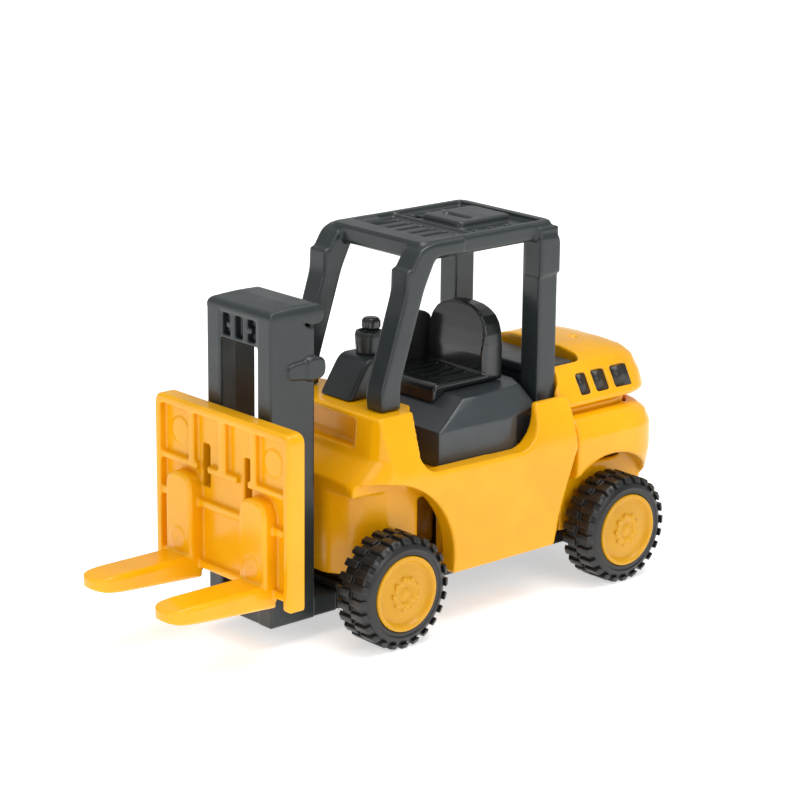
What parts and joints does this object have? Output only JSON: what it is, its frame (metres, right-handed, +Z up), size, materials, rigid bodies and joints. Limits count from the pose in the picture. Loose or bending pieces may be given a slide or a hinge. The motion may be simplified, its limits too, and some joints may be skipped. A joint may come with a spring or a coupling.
{
  "type": "toy forklift truck",
  "caption": "Moulded toy counterbalance forklift truck: a lift carriage with forks slides on the mast, free-rolling wheels, overhead guard, driver's seat and rear counterweight.",
  "frame": {"origin": "centre of the footprint on the ground, halfway along the overall length from fork tips to hood", "axes": "+Z up, the forks point towards -Y, +X is the driver's left"},
  "size_m": [0.0364, 0.09, 0.0545],
  "materials": {
    "body_yellow": "glossy injection-moulded plastic",
    "hub_yellow": "satin gloss moulded plastic",
    "tyre_black": "soft vinyl with moulded lugs",
    "frame_charcoal": "fine-grained semi-matte plastic",
    "cab_grey": "semi-matte plastic",
    "seat_gloss_black": "glossy black plastic",
    "chassis_black": "satin black plastic",
    "pin_steel": "bright drawn steel"
  },
  "bodies": {
    "truck": {"chassis_base": "chassis_black", "chassis_screw_front": "pin_steel", "chassis_screw_rear": "pin_steel", "body_shell": "body_yellow", "counterweight": "body_yellow", "rear_hood": "body_yellow", "engine_cover_insert": "cab_grey", "seat_pedestal": "cab_grey", "seat": "seat_gloss_black", "dashboard": "frame_charcoal", "steering_column": "frame_charcoal", "steering_wheel": "seat_gloss_black", "lever_console": "chassis_black", "overhead_guard": "frame_charcoal", "mast_frame": "frame_charcoal"},
    "lift_carriage": {"carriage": "body_yellow"},
    "front_wheels": {"axle_front": "pin_steel", "hub_front_left": "hub_yellow", "hub_front_right": "hub_yellow", "tyre_front_left": "tyre_black", "tyre_front_right": "tyre_black"},
    "rear_wheels": {"axle_rear": "pin_steel", "hub_rear_left": "hub_yellow", "hub_rear_right": "hub_yellow", "tyre_rear_left": "tyre_black", "tyre_rear_right": "tyre_black"}
  },
  "joints": [
    {"name": "carriage_lift", "type": "slide", "parent": "truck", "child": "lift_carriage", "axis": [0, 0, 1], "range_m": [-0.0075, 0.0125]},
    {"name": "front_wheels_roll", "type": "hinge", "parent": "truck", "child": "front_wheels", "pos_m": [0, -0.0106, 0.008], "axis": [1, 0, 0], "continuous": true},
    {"name": "rear_wheels_roll", "type": "hinge", "parent": "truck", "child": "rear_wheels", "pos_m": [0, 0.0326, 0.008], "axis": [1, 0, 0], "continuous": true}
  ]
}
